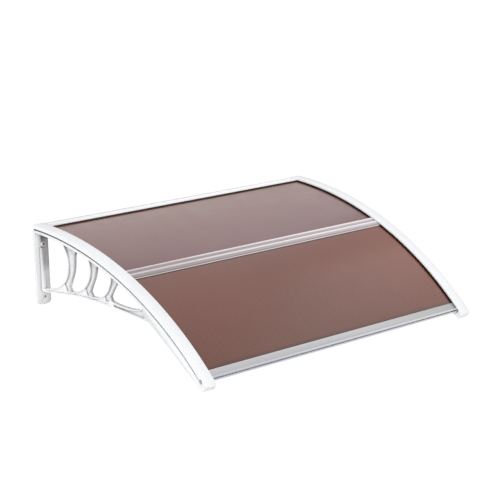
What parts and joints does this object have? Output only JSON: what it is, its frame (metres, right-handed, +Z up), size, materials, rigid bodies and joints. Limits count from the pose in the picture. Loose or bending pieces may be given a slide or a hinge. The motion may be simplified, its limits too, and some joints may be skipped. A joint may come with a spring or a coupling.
{
  "type": "door canopy",
  "caption": "Arched door canopy of bronze polycarbonate sheets on scroll brackets, with aluminium rails, for a wall above a door.",
  "frame": {"origin": "middle of the rear rail's flat back face on the wall plane, at the height of the sheets' top", "axes": "+X along the wall to the right seen from the front, +Y into the wall, +Z up"},
  "size_m": [1.2, 0.7751, 0.4106],
  "materials": {
    "white_plastic": "smooth satin moulding",
    "bronze_polycarbonate": "tinted twin-wall sheet, smooth and slightly see-through",
    "anodised_aluminium": "silver anodised extrusion",
    "black_rubber": "matt extruded seal"
  },
  "bodies": {
    "root": {"left_bracket": "white_plastic", "right_bracket": "white_plastic", "left_cover_strip": "white_plastic", "right_cover_strip": "white_plastic", "rear_sheet": "bronze_polycarbonate", "front_sheet": "bronze_polycarbonate", "rear_rail": "anodised_aluminium", "middle_rail_base": "anodised_aluminium", "middle_rail_cap": "anodised_aluminium", "front_rail": "anodised_aluminium", "rear_rail_seal": "black_rubber", "left_rear_upper_seal": "black_rubber", "left_front_upper_seal": "black_rubber", "left_rear_lower_seal": "black_rubber", "left_front_lower_seal": "black_rubber", "right_rear_upper_seal": "black_rubber", "right_front_upper_seal": "black_rubber", "right_rear_lower_seal": "black_rubber", "right_front_lower_seal": "black_rubber"}
  },
  "joints": []
}
